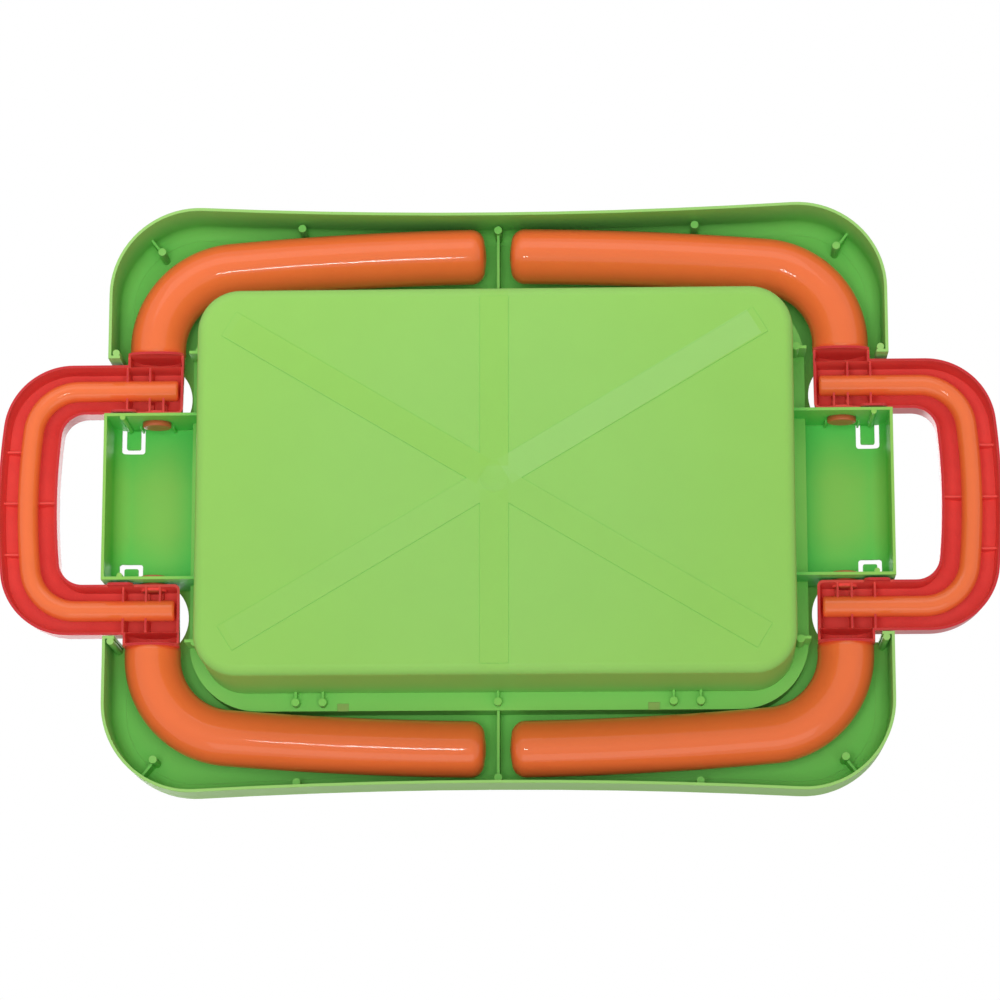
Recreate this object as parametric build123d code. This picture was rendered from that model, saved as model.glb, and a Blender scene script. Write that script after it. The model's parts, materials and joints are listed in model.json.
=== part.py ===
"""Folding sand and water play table: a green tub with a skirt, and a swing frame at each end.

Each swing frame is a D-shaped carrying handle with two hollow legs fixed in it. It turns on
two pivot pins, from folded under the tub to legs down and handle up.
"""
from build123d import *
import math
import os

# ---------------------------------------------------------------------------
# Driving sizes in millimetres. +X runs along the table and +Z is up. The
# origin is the middle of the tub's underside, which the folded table rests on.
# ---------------------------------------------------------------------------

# Table top moulding
WALL = 3.0                # wall of the whole moulding
TOP_Z = 149.0             # upper face of the deck
SKIRT_DEPTH = 73.0        # deck to the lower edge of the skirt and of the end boxes
CHANNEL_W = 77.3          # tub's step to the skirt at the waist of a long side
SIDE_BULGE = 8.0          # how far the long sides swell from the waist to the corners
CORNER_R = 90.0           # plan radius of the skirt's corners
EDGE_R = 16.0             # round between the skirt and the deck

# Tub
TUB_HALF_X = 292.5        # half length of the tub under its step
TUB_HALF_Y = 195.5        # half width of the tub under its step
TUB_R = 42.0              # plan radius of the tub's corners
TUB_DRAFT = 1.0           # draft of the tub's walls, degrees
TUB_FLOOR_R = 10.0        # round under the tub's floor
STEP_DEPTH = 35.0         # deck to the underside of the step inside the tub's rim
STEP_W = 18.2             # width of the step
STEP_R = 70.0             # plan radius of the step's outer corners
BAND_W = 28.0             # width of the raised flow bands under the floor
BAND_H = 0.6              # height of the flow bands
BAND_PAST = 12.0          # reach of the slanted bands past the centres of the corners
GATE_R = 14.2             # dish round the moulding gate
GATE_DEPTH = 2.0          # depth of that dish
POCKET_X = 155.5          # middle of the table to a shallow pocket under the step
POCKET_L = 12.0           # length of a pocket
POCKET_W = 7.5            # width of a pocket, in from the step's outer face
POCKET_DEPTH = 1.5        # depth of a pocket

# Swing frame
COLLAR_R = 28.3           # collar that holds a leg, about the pivot axis
COLLAR_ROOM_X = 8.0       # room between a collar and the tub's step
COLLAR_ROOM_Z = 7.7       # room between a collar and the deck
PIN_R = 13.95             # journal of a pivot pin
PIN_CLEARANCE = 0.05      # radial running clearance in a box wall
PIN_HEAD = 3.7            # how far a pin stands into a box
PIN_CHAMFER = 0.8         # chamfer of a pin's head
STUB_R = 11.0             # stub that holds a pin in a handle's arm
STUB_BOSS_H = 2.8         # ring round the stub, inside the arm
STUB_BOSS_T = 2.0         # thickness of that ring
SEAT_CLEARANCE = 0.05     # clearance of seats between fixed pieces

# End boxes
BOX_HALF_Y = 85.2         # half width of a box
BOX_PAST = 2.8            # how far a box stands past the skirt's end
BOX_EDGE_R = 19.5         # round between a box's end and its ceiling
TONGUE_IN = 21.1          # box's end face to the middle of a snap tongue
TONGUE_W = 14.5           # width of a tongue
TONGUE_L = 20.2           # length of a tongue, from the box's side wall
TONGUE_R = 2.0            # round of a tongue's corners
TONGUE_BEAD_R = 1.5       # half thickness of a tongue, and radius of its root
SLOT_GAP = 4.5            # open slot round a tongue
SLOT_R = 3.0              # round of the slot's corners
BOX_RIB_T = 2.0           # thickness of the ribs beside a pin
BOX_RIB_H = 3.0           # how far they stand in from the wall
BOX_RIB_DROP = 24.0       # ceiling to the lower end of those ribs
BOX_RIB_IN = 15.0         # pivot axis to the rib on its inner side
BOX_RIB_OUT = 18.0        # pivot axis to the rib on its outer side
BOX_POST_R = 2.8          # ejector posts on a box's side walls
BOX_POST_SHIFT = 2.4      # middle of a tongue to such a post
BOX_POST_SUNK = 1.2       # how far a post's middle stands in from the wall
BOX_POST_DROP = 6.0       # ceiling to the top of a post

# Handle tray
TRAY_WALL = 2.4           # wall of a tray
TRAY_DRAFT = 2.5          # draft of a tray's side walls, degrees
RIM_DROP = 18.0           # pivot axis to the lower rim of a tray
CROWN_RISE = 23.0         # pivot axis to the crest of a tray's crowned back
CROWN_R = 40.0            # radius of the crown across the handle
CROWN_PAST = 6.0          # how far the crown is drawn past the sides of the grip
REACH = 157.6             # pivot axis to a handle's outer side
GRIP_W = 60.0             # width of the grip
ARM_W = 51.2              # width of an arm
ARM_GAP = 2.3             # running gap between an arm and its box
ARM_END_LEAN = 7.0        # lean of an arm's end wall, degrees
ARM_END_R = 6.0           # corner of an arm's end beside the box
TRAY_OUT_R = 70.0         # outer corners of a handle
TRAY_IN_R = 24.0          # inner corners of a handle
BOW_R = 660.0             # bow of the grip, at the middle of the tube
COLLAR_OUT = 11.6         # arm's outer side to the outer face of the collar
SOCKET_R = 20.0           # boss on the collar that a leg is pressed on to
SOCKET_L = 18.0           # length of that boss
RIB_T = 2.0               # thickness of the ribs
RIB_DROP = 15.5           # pivot axis to the lower edge of the ribs across an arm
RIB_FAR = 29.0            # pivot axis to the rib beside the grip's corner
RIB_OUT = 6.0             # pivot axis to the rib on its outer side
RIB_IN = 8.0              # pivot axis to the rib on its inner side
RIDGE_H = 2.5             # low ridge that carries a rib on across the collar
RIB_PITCH = 53.0          # spacing of the ribs along the grip
RIB_BITE = 1.0            # how far those ribs reach down beside the tube's crest
TAB_NEAR = 18.0           # pivot axis to the near side of the tab on an arm
TAB_L = 26.0              # length of the tab
TAB_DEPTH = 13.0          # how far the tab reaches below the rim
TAB_R = 6.0               # round of the tab's corners

# Grip tube
TUBE_R = 10.5
TUBE_IN = 29.3            # handle's outer side to the tube's middle at the grip
TUBE_RISE = 8.9           # rim to the tube's middle
TUBE_END_R = 3.0          # round of the tube's ends
TUBE_END_GAP = 0.6        # gap between a tube's end and the arm's end wall

# Legs
LEG_R = 25.5
LEG_NECK = 8.5            # straight part between the collar and the bend
LEG_GAP = 1.3             # gap between a folded leg and the tub's step
LEG_BEND_ANGLE = 85.0     # turn of the bend, degrees
LEG_RUN_R = 3400.0        # slight curve of the long run
FOOT_X = 13.7             # middle of the table to a foot's end
FOOT_R = 13.0             # round of a foot's end

# Notches, return walls and brackets
NOTCH_GAP = 3.3           # arm's outer side to the side of its notch
NOTCH_END_GAP = 3.0       # arm's end to the round end of its notch
RETURN_GAP = 6.2          # collar to the skirt's return wall
RETURN_L = 12.0           # length of a return wall
BRACKET_GAP = 4.2         # side of a notch to the short wall beside the tub
BRACKET_PAST = 0.6        # how far that wall stands past the tub's step

# Ribs and ejector posts of the moulding
POST_R = 4.0              # ejector posts
GUSSET_T = 2.4            # thickness of the gussets behind the posts
POST_DROP = 37.0          # deck's underside to the lower end of the posts in the skirt
SIDE_POST_X = 201.0       # middle of the table to the posts on a long side
SIDE_POST_IN = 5.6        # waist of a long side to the middle of those posts
SIDE_RIB_DROP = 28.0      # deck's underside to the lower edge of their gussets
CORNER_POST_IN = 22.7     # skirt to the middle of a corner post
CORNER_POST_TURN = 51.9   # direction of that post from the corner's centre, degrees
CORNER_RIB_DROP = 26.0    # deck's underside to the lower edge of its gusset
END_POST_R = 3.6          # posts in the angle of the return walls
END_POST_IN = 8.0         # skirt's end to the middle of such a post
END_POST_SIDE = 5.5       # side of the notch to the middle of such a post
MID_RIB_T = 2.7           # rib across the channel at the middle
MID_RIB_DROP = 30.0       # deck's underside to the lower edge of that rib
MID_POST_IN = 9.5         # waist of a long side to the post in the middle rib
STEP_POSTS = (0.0, 175.0, 202.0)  # middle of the table to the posts under the step
STEP_POST_IN = 7.2        # step's outer face to the middle of those posts
STEP_POST_L = 14.0        # length of those posts
GUSSET_SHORT = 4.0        # how much a gusset stops short of its post's lower end
BRACKET_POST_X = 8.5      # tub's wall to the middle of a post on a bracket
BRACKET_POST_Y = 2.7      # bracket's face to the middle of that post

# ---------------------------------------------------------------------------
# Sizes that follow from the ones above
# ---------------------------------------------------------------------------

DECK_Z = TOP_Z - WALL
SKIRT_Z = TOP_Z - SKIRT_DEPTH
STEP_Z = TOP_Z - STEP_DEPTH
STEP_HALF_X = TUB_HALF_X + STEP_W
STEP_HALF_Y = TUB_HALF_Y + STEP_W
HALF_WIDTH = STEP_HALF_Y + CHANNEL_W
PIVOT_X = STEP_HALF_X + COLLAR_ROOM_X + COLLAR_R
PIVOT_Z = DECK_Z - COLLAR_ROOM_Z - COLLAR_R
RETURN_X = PIVOT_X + COLLAR_R + RETURN_GAP
HALF_LENGTH = RETURN_X + RETURN_L
BOX_HALF_X = HALF_LENGTH + BOX_PAST
TONGUE_X = BOX_HALF_X - TONGUE_IN
ARM_IN_Y = BOX_HALF_Y + ARM_GAP
ARM_OUT_Y = ARM_IN_Y + ARM_W
ARM_MID_Y = ARM_IN_Y + ARM_W / 2
ARM_END_X = PIVOT_X - COLLAR_R
COLLAR_Y = ARM_OUT_Y + COLLAR_OUT
NOTCH_Y = ARM_OUT_Y + NOTCH_GAP
BRACKET_Y = NOTCH_Y + BRACKET_GAP
TRAY_Z = PIVOT_Z - RIM_DROP
CROWN_Z = PIVOT_Z + CROWN_RISE
TRAY_OUT_X = PIVOT_X + REACH
TRAY_IN_X = TRAY_OUT_X - GRIP_W
TUBE_X = TRAY_OUT_X - TUBE_IN
TUBE_Z = TRAY_Z + TUBE_RISE
TUBE_BEND_R = (TRAY_OUT_R + TRAY_IN_R) / 2
LEG_BEND_Y = COLLAR_Y + LEG_NECK
LEG_BEND_R = (STEP_HALF_Y + LEG_GAP + LEG_R - LEG_BEND_Y) / math.sin(math.radians(LEG_BEND_ANGLE))


# ---------------------------------------------------------------------------
# Helpers
# ---------------------------------------------------------------------------

def block(x0, x1, y0, y1, z0, z1):
    """A plain box between two corners."""
    size = (x1 - x0, y1 - y0, z1 - z0)
    middle = ((x0 + x1) / 2, (y0 + y1) / 2, (z0 + z1) / 2)
    return Pos(*middle) * Box(*size)


def prism(plan, z0, z1, taper=0.0):
    """A plan raised from z0 to z1."""
    return extrude(Pos(0, 0, z0) * plan, amount=z1 - z0, taper=taper)


def rounded(half_x, half_y, radius):
    """A rectangle with round corners."""
    return RectangleRounded(2 * half_x, 2 * half_y, radius)


def top_edges(shape, z):
    """The edges of a shape that lie in the plane at height z."""
    return shape.edges().filter_by_position(Axis.Z, z - 0.01, z + 0.01)


def cylinder_y(radius, x, z, y0, y1):
    """A cylinder about an axis along Y."""
    return Pos(x, (y0 + y1) / 2, z) * Rot(90, 0, 0) * Cylinder(radius, y1 - y0)


def post(x, y, z0, z1, radius=POST_R):
    """An upright round post."""
    return Pos(x, y, (z0 + z1) / 2) * Cylinder(radius, z1 - z0)


def to_rear_and_front(shape):
    """A shape made at +Y, with its twin at -Y."""
    return [shape, mirror(shape, about=Plane.XZ)]


def four_times(shape):
    """A shape made at +X +Y, with its three mirror twins."""
    pair = to_rear_and_front(shape)
    return pair + [mirror(item, about=Plane.YZ) for item in pair]


# ---------------------------------------------------------------------------
# Table top
# ---------------------------------------------------------------------------

def top_plan(inset=0.0):
    """Plan of the table top: long sides that dip to a waist, straight ends, round corners."""
    reach = HALF_LENGTH - CORNER_R
    side_r = (reach ** 2 + SIDE_BULGE ** 2) / (2 * SIDE_BULGE)
    corner_y = HALF_WIDTH + side_r - math.sqrt(side_r ** 2 - HALF_LENGTH ** 2)
    rear = ThreePointArc((-HALF_LENGTH, corner_y), (0, HALF_WIDTH), (HALF_LENGTH, corner_y))
    right = Line((HALF_LENGTH, corner_y), (HALF_LENGTH, -corner_y))
    front = ThreePointArc((HALF_LENGTH, -corner_y), (0, -HALF_WIDTH), (-HALF_LENGTH, -corner_y))
    left = Line((-HALF_LENGTH, -corner_y), (-HALF_LENGTH, corner_y))
    plan = make_face([rear, right, front, left])
    plan = fillet(plan.vertices(), CORNER_R)
    if inset:
        plan = offset(plan, amount=-inset)
    return plan


def notch_plan():
    """Plan of one swing notch at +X +Y, with a round inner end like the back of the arm."""
    outer_x = HALF_LENGTH + EDGE_R
    middle_y = (BOX_HALF_Y + NOTCH_Y) / 2
    half_w = (NOTCH_Y - BOX_HALF_Y) / 2
    inner_x = ARM_END_X - NOTCH_END_GAP
    side_x = inner_x + CROWN_R - math.sqrt(CROWN_R ** 2 - half_w ** 2)
    end = ThreePointArc((side_x, BOX_HALF_Y), (inner_x, middle_y), (side_x, NOTCH_Y))
    sides = Polyline((side_x, NOTCH_Y), (outer_x, NOTCH_Y), (outer_x, BOX_HALF_Y), (side_x, BOX_HALF_Y))
    return make_face([end, sides])


def draft_spread():
    """How far the tub's walls come in from the step down to the floor, by their draft."""
    return (STEP_Z - BAND_H) * math.tan(math.radians(TUB_DRAFT))


def well_plan(inset=0.0):
    """Plan of the tub at its floor."""
    spread = draft_spread() + inset
    return rounded(TUB_HALF_X - spread, TUB_HALF_Y - spread, TUB_R - inset)


def step_plan(inset=0.0):
    """Plan of the step's outer wall."""
    return rounded(STEP_HALF_X - inset, STEP_HALF_Y - inset, STEP_R - inset)


def tub_envelope():
    """Outside of the tub: the drafted well and the wider step above it."""
    well = prism(well_plan(), BAND_H, STEP_Z, -TUB_DRAFT)
    well = fillet(top_edges(well, BAND_H), TUB_FLOOR_R)
    return well + prism(step_plan(), STEP_Z, TOP_Z)


def flow_bands():
    """Raised bands under the floor that led the plastic out from the gate."""
    flat = prism(well_plan(TUB_FLOOR_R), 0, BAND_H)
    corner_x = TUB_HALF_X - draft_spread() - TUB_R
    corner_y = TUB_HALF_Y - draft_spread() - TUB_R
    lean = math.degrees(math.atan2(corner_y, corner_x))
    slanted = 2 * (math.hypot(corner_x, corner_y) + BAND_PAST)
    bands = Box(BAND_W, 2 * TUB_HALF_Y, 2 * BAND_H)
    for turn in (lean, -lean):
        bands += Rot(0, 0, turn) * Box(slanted, BAND_W, 2 * BAND_H)
    return flat & bands


def make_tub():
    """The tub: a floor, drafted walls, and a step under the rim for a tray or lid."""
    floor_z = BAND_H + WALL
    well = prism(well_plan(WALL), floor_z, TOP_Z, -TUB_DRAFT)
    well = fillet(top_edges(well, floor_z), TUB_FLOOR_R - WALL)
    step = prism(step_plan(WALL), STEP_Z + WALL, TOP_Z)
    tub = tub_envelope() - well - step + flow_bands()
    dish_r = (GATE_R ** 2 + GATE_DEPTH ** 2) / (2 * GATE_DEPTH)
    tub -= Pos(0, 0, GATE_DEPTH - dish_r) * Sphere(dish_r)
    pocket = block(POCKET_X - POCKET_L / 2, POCKET_X + POCKET_L / 2, STEP_HALF_Y - POCKET_W, STEP_HALF_Y,
                   STEP_Z, STEP_Z + POCKET_DEPTH)
    for cut in four_times(pocket):
        tub -= cut
    return tub


def step_posts():
    """Ejector posts under the step, each with a gusset from the tub's wall."""
    post_y = STEP_HALF_Y - STEP_POST_IN
    low = STEP_Z - STEP_POST_L
    half = GUSSET_T / 2
    posts = []
    for x in STEP_POSTS:
        gusset = block(x - half, x + half, TUB_HALF_Y - WALL, post_y, low + GUSSET_SHORT, STEP_Z)
        posts += four_times(post(x, post_y, low, STEP_Z) + gusset)
    return posts


def tub_brackets():
    """Short walls out from the tub beside the notches, each with an ejector post."""
    wall = block(TUB_HALF_X - TUB_R, STEP_HALF_X + BRACKET_PAST, BRACKET_Y, BRACKET_Y + WALL,
                 SKIRT_Z, DECK_Z)
    wall += post(TUB_HALF_X + BRACKET_POST_X, BRACKET_Y + BRACKET_POST_Y, SKIRT_Z, STEP_Z)
    return wall - tub_envelope()


def top_core():
    """The space under the skirt and deck."""
    core = prism(top_plan(WALL), SKIRT_Z - WALL, DECK_Z)
    return fillet(top_edges(core, DECK_Z), EDGE_R - WALL)


def top_shell():
    """Skirt and deck together: a shallow inverted tray with a soft outer edge."""
    outer = prism(top_plan(), SKIRT_Z, TOP_Z)
    outer = fillet(top_edges(outer, TOP_Z), EDGE_R)
    return outer - top_core()


def corner_post():
    """Ejector post in a corner of the skirt, with its gusset to the corner's wall."""
    corner = Pos(HALF_LENGTH - CORNER_R, HALF_WIDTH + SIDE_BULGE - CORNER_R, 0)
    corner *= Rot(0, 0, CORNER_POST_TURN)
    middle = CORNER_R - CORNER_POST_IN
    half = GUSSET_T / 2
    gusset = block(middle, CORNER_R, -half, half, DECK_Z - CORNER_RIB_DROP, DECK_Z)
    return corner * (post(middle, 0, DECK_Z - POST_DROP, DECK_Z) + gusset)


def side_post():
    """Ejector post on a long side of the skirt, with its gusset."""
    y = HALF_WIDTH - SIDE_POST_IN
    half = GUSSET_T / 2
    gusset = block(SIDE_POST_X - half, SIDE_POST_X + half, y, HALF_WIDTH + SIDE_BULGE,
                   DECK_Z - SIDE_RIB_DROP, DECK_Z)
    return post(SIDE_POST_X, y, DECK_Z - POST_DROP, DECK_Z) + gusset


def make_skirt():
    """Rear half of the skirt: the long side, two corners, and short return walls."""
    keep = block(-2 * HALF_LENGTH, 2 * HALF_LENGTH, NOTCH_Y, 2 * HALF_WIDTH, 0, 2 * TOP_Z)
    skirt = (top_shell() - prism(top_plan(EDGE_R), DECK_Z - WALL, TOP_Z)) & keep
    returned = block(RETURN_X, HALF_LENGTH, NOTCH_Y, NOTCH_Y + WALL, SKIRT_Z, DECK_Z)
    end_post = post(HALF_LENGTH - END_POST_IN, NOTCH_Y + END_POST_SIDE, SKIRT_Z, DECK_Z, END_POST_R)
    core = top_core()
    for item in (returned, end_post, side_post(), corner_post()):
        for twin in (item, mirror(item, about=Plane.YZ)):
            skirt += twin & core & keep
    return skirt


def middle_rib(skirt):
    """Rib across the channel under the deck, with an ejector post in it."""
    half = MID_RIB_T / 2
    post_y = HALF_WIDTH - MID_POST_IN
    rib = block(-half, half, TUB_HALF_Y, HALF_WIDTH, DECK_Z - MID_RIB_DROP, DECK_Z)
    rib += post(0, post_y, DECK_Z - POST_DROP, DECK_Z)
    return (rib & top_core()) - tub_envelope() - skirt


def make_deck(skirt):
    """Rear half of the deck, from the tub's rim to the skirt, with the middle rib under it."""
    plan = top_plan(EDGE_R) - step_plan()
    for notch in (notch_plan(), mirror(notch_plan(), about=Plane.YZ)):
        plan -= notch
    deck = prism(plan, DECK_Z, TOP_Z)
    deck &= block(-HALF_LENGTH, HALF_LENGTH, BOX_HALF_Y, HALF_WIDTH + SIDE_BULGE, DECK_Z, TOP_Z)
    return deck + middle_rib(skirt)


# ---------------------------------------------------------------------------
# End boxes
# ---------------------------------------------------------------------------

def round_end(shape, radius):
    """Round the upper outer edge of a box's block."""
    edges = shape.edges().filter_by(Axis.Y)
    return fillet(edges.sort_by(lambda edge: edge.center().X + edge.center().Z)[-1], radius)


def make_end_box():
    """Right end box: an open-bottomed hollow between the arms that carries both pins."""
    outer = round_end(block(TUB_HALF_X - WALL, BOX_HALF_X, -BOX_HALF_Y, BOX_HALF_Y, SKIRT_Z, TOP_Z),
                      BOX_EDGE_R)
    side_y = BOX_HALF_Y - WALL
    inner = round_end(block(0, BOX_HALF_X - WALL, -side_y, side_y, 0, DECK_Z), BOX_EDGE_R - WALL)
    box = outer - inner - tub_envelope()
    box -= cylinder_y(PIN_R + PIN_CLEARANCE, PIVOT_X, PIVOT_Z, -2 * BOX_HALF_Y, 2 * BOX_HALF_Y)
    half_slot = TONGUE_W / 2 + SLOT_GAP
    slot = block(TONGUE_X - half_slot, TONGUE_X + half_slot, side_y - TONGUE_L - SLOT_GAP, side_y,
                 DECK_Z - BOX_EDGE_R, TOP_Z + WALL)
    slot = fillet(slot.edges().filter_by(Axis.Z).group_by(Axis.Y)[0], SLOT_R)
    for cut in to_rear_and_front(slot):
        box -= cut
    additions = [post(TONGUE_X + BOX_POST_SHIFT, side_y - BOX_POST_SUNK, SKIRT_Z, DECK_Z - BOX_POST_DROP,
                      BOX_POST_R)]
    for x in (PIVOT_X - BOX_RIB_IN, PIVOT_X + BOX_RIB_OUT):
        additions.append(block(x - BOX_RIB_T / 2, x + BOX_RIB_T / 2, side_y - BOX_RIB_H, side_y,
                               DECK_Z - BOX_RIB_DROP, DECK_Z))
    for item in additions:
        for twin in to_rear_and_front(item):
            box += twin
    return box


def make_tongue():
    """Snap tongue at +X +Y: a flat finger whose round root lies against the box's side wall."""
    side_y = BOX_HALF_Y - WALL
    mid_z = (DECK_Z + TOP_Z) / 2
    finger = block(TONGUE_X - TONGUE_W / 2, TONGUE_X + TONGUE_W / 2, side_y - TONGUE_L,
                   side_y - TONGUE_BEAD_R, mid_z - TONGUE_BEAD_R, mid_z + TONGUE_BEAD_R)
    finger = fillet(finger.edges().filter_by(Axis.Z).group_by(Axis.Y)[0], TONGUE_R)
    root = Pos(TONGUE_X, side_y - TONGUE_BEAD_R, mid_z) * Rot(0, 90, 0)
    return finger + root * Cylinder(TONGUE_BEAD_R, TONGUE_W)


# ---------------------------------------------------------------------------
# Swing frames
# ---------------------------------------------------------------------------

def d_curve(x_mid, arm_y, corner_r, bow_r, end_x):
    """Line of a D-shaped handle at +X: a bowed grip, two corners and two straight arms.

    The bow and the corner meet where both have the same heading, so that the arm comes
    out along X at arm_y.
    """
    bow = math.degrees(math.asin((arm_y - corner_r) / (bow_r - corner_r)))
    grip = JernArc((x_mid, 0), (0, 1), bow_r, bow)
    corner = JernArc(grip @ 1, grip % 1, corner_r, 90 - bow)
    arm = Line(corner @ 1, (end_x, arm_y))
    half = [grip, corner, arm]
    return half + [mirror(item, about=Plane.XZ) for item in half]


def d_plan(inset):
    """Plan of a handle tray's D, moved in by inset on every side."""
    end_x = ARM_END_X + inset
    in_y = ARM_IN_Y + inset
    out_y = ARM_OUT_Y - inset
    out_spread = (TRAY_OUT_X - TUBE_X) - inset
    in_spread = (TUBE_X - TRAY_IN_X) - inset
    outer = d_curve(TRAY_OUT_X - inset, out_y, TRAY_OUT_R - inset, BOW_R + out_spread, end_x)
    inner = d_curve(TRAY_IN_X + inset, in_y, TRAY_IN_R + inset, BOW_R - in_spread, end_x)
    ends = to_rear_and_front(Line((end_x, in_y), (end_x, out_y)))
    plan = make_face(outer + inner + ends)
    beside_box = plan.vertices().group_by(Axis.X)[0].sort_by(lambda vertex: abs(vertex.Y))[:2]
    return fillet(beside_box, ARM_END_R - inset)


def along_handle(section, end_x, y, z):
    """A section swept along a line of the handle at height z, with its arms at distance y."""
    bow = math.degrees(math.asin((y - TUBE_BEND_R) / (BOW_R - TUBE_BEND_R)))
    grip = JernArc((TUBE_X, 0, z), (0, 1, 0), BOW_R, bow)
    corner = JernArc(grip @ 1, grip % 1, TUBE_BEND_R, 90 - bow)
    arm = Line(corner @ 1, (end_x, y, z))
    place = Plane(origin=grip @ 0, x_dir=(1, 0, 0), z_dir=(0, 1, 0))
    half = sweep(place * section, path=Wire([grip, corner, arm]))
    return half + mirror(half, about=Plane.XZ)


def crown(inset, low_z):
    """Bar under the crowned back of a tray, a little wider than the tray itself."""
    half_w = GRIP_W / 2 + CROWN_PAST - inset
    radius = CROWN_R - inset
    drop = radius - math.sqrt(radius ** 2 - half_w ** 2)
    depth = CROWN_Z - inset - low_z
    back = ThreePointArc((-half_w, drop), (0, 0), (half_w, drop))
    sides = Polyline((half_w, drop), (half_w, depth), (-half_w, depth), (-half_w, drop))
    return along_handle(make_face([back, sides]), ARM_END_X - COLLAR_R, ARM_MID_Y, CROWN_Z - inset)


def tray_body(inset, low_z):
    """Outside of a tray, or with an inset its inside: a crowned D with a collar on each arm.

    Each collar is a drum about the pivot axis on the arm's outer side. The ends of the arms
    lean back from the rim.
    """
    drafted = inset + (CROWN_Z - TRAY_Z) * math.tan(math.radians(TRAY_DRAFT))
    walls = loft([Pos(0, 0, low_z) * d_plan(inset), Pos(0, 0, CROWN_Z) * d_plan(drafted)], ruled=True)
    body = walls & crown(inset, low_z)
    drum = cylinder_y(COLLAR_R - inset, PIVOT_X, PIVOT_Z, ARM_OUT_Y - 2 * TRAY_WALL + inset,
                      COLLAR_Y - inset)
    reach = 2 * TRAY_OUT_X
    drum &= block(0, reach, 0, reach, low_z, reach)
    for item in to_rear_and_front(drum):
        body += item
    keep = Pos(ARM_END_X + inset, 0, TRAY_Z) * Rot(0, ARM_END_LEAN, 0)
    return body & (keep * block(0, reach, -reach, reach, -reach, reach))


def tray_additions(channel):
    """What stands on a tray at +Y: the collar's lower lobe, the tab and the leg's boss."""
    lobe = cylinder_y(COLLAR_R, PIVOT_X, PIVOT_Z, COLLAR_Y - TRAY_WALL, COLLAR_Y)
    lobe &= block(ARM_END_X, PIVOT_X + COLLAR_R, 0, 2 * COLLAR_Y, 0, TRAY_Z + TRAY_WALL)
    tab = block(PIVOT_X + TAB_NEAR, PIVOT_X + TAB_NEAR + TAB_L, ARM_IN_Y, ARM_IN_Y + TRAY_WALL,
                TRAY_Z - TAB_DEPTH, TRAY_Z + TRAY_WALL)
    tab = fillet(tab.edges().filter_by(Axis.Y).group_by(Axis.Z)[0], TAB_R)
    socket = cylinder_y(SOCKET_R, PIVOT_X, PIVOT_Z, COLLAR_Y - TRAY_WALL, COLLAR_Y + SOCKET_L)
    socket -= cylinder_y(SOCKET_R - TRAY_WALL, PIVOT_X, PIVOT_Z, COLLAR_Y, COLLAR_Y + SOCKET_L)
    ring = cylinder_y(STUB_R + STUB_BOSS_T, PIVOT_X, PIVOT_Z, ARM_IN_Y, ARM_IN_Y + TRAY_WALL + STUB_BOSS_H)
    ring &= channel
    half = RIB_T / 2
    ridge_x = PIVOT_X + RIB_OUT
    ridge = block(ridge_x - half, ridge_x + half, ARM_OUT_Y - TRAY_WALL, COLLAR_Y,
                  PIVOT_Z + COLLAR_R - TRAY_WALL - RIDGE_H, PIVOT_Z + COLLAR_R)
    ridge &= channel
    return [lobe, tab, socket, ring, ridge]


def tray_ribs():
    """Thin ribs that brace the tray's walls and carry the tube."""
    half = RIB_T / 2
    grip_low = TUBE_Z + TUBE_R - RIB_BITE
    ribs = block(TRAY_IN_X, TUBE_X, -half, half, grip_low, CROWN_Z)
    for y in (-RIB_PITCH, 0.0, RIB_PITCH):
        ribs += block(TUBE_X, TRAY_OUT_X, y - half, y + half, grip_low, CROWN_Z)
    for x, outer_y in ((RIB_FAR, ARM_OUT_Y), (RIB_OUT, ARM_OUT_Y - TRAY_WALL), (-RIB_IN, ARM_MID_Y)):
        rib = block(PIVOT_X + x - half, PIVOT_X + x + half, ARM_IN_Y, outer_y, PIVOT_Z - RIB_DROP, CROWN_Z)
        for twin in to_rear_and_front(rib):
            ribs += twin
    return ribs


def make_tray():
    """Right handle tray: an open D-shaped channel, with a collar and boss for each leg's root."""
    channel = tray_body(TRAY_WALL, TRAY_Z - TRAY_WALL)
    tray = tray_body(0, TRAY_Z) - channel
    tray += (tray_ribs() & channel) - grip_bar(TUBE_R + SEAT_CLEARANCE, ARM_END_X)
    for item in tray_additions(channel):
        for twin in to_rear_and_front(item):
            tray += twin
    stub_bore = cylinder_y(STUB_R + SEAT_CLEARANCE, PIVOT_X, PIVOT_Z, 0, ARM_MID_Y - TUBE_R)
    for cut in to_rear_and_front(stub_bore):
        tray -= cut
    return tray


def grip_bar(radius, end_x):
    """A round bar along the middle line of the grip tube."""
    return along_handle(Circle(radius), end_x, ARM_MID_Y, TUBE_Z)


def make_tube():
    """Right grip tube, with rounded closed ends inside the arms."""
    lean = math.tan(math.radians(ARM_END_LEAN))
    end_x = ARM_END_X + TRAY_WALL + lean * (TUBE_Z + TUBE_R - TRAY_Z) + TUBE_END_GAP
    tube = grip_bar(TUBE_R, end_x)
    ends = tube.edges().filter_by(GeomType.CIRCLE).group_by(Axis.X)[0]
    return fillet(ends, TUBE_END_R)


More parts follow.
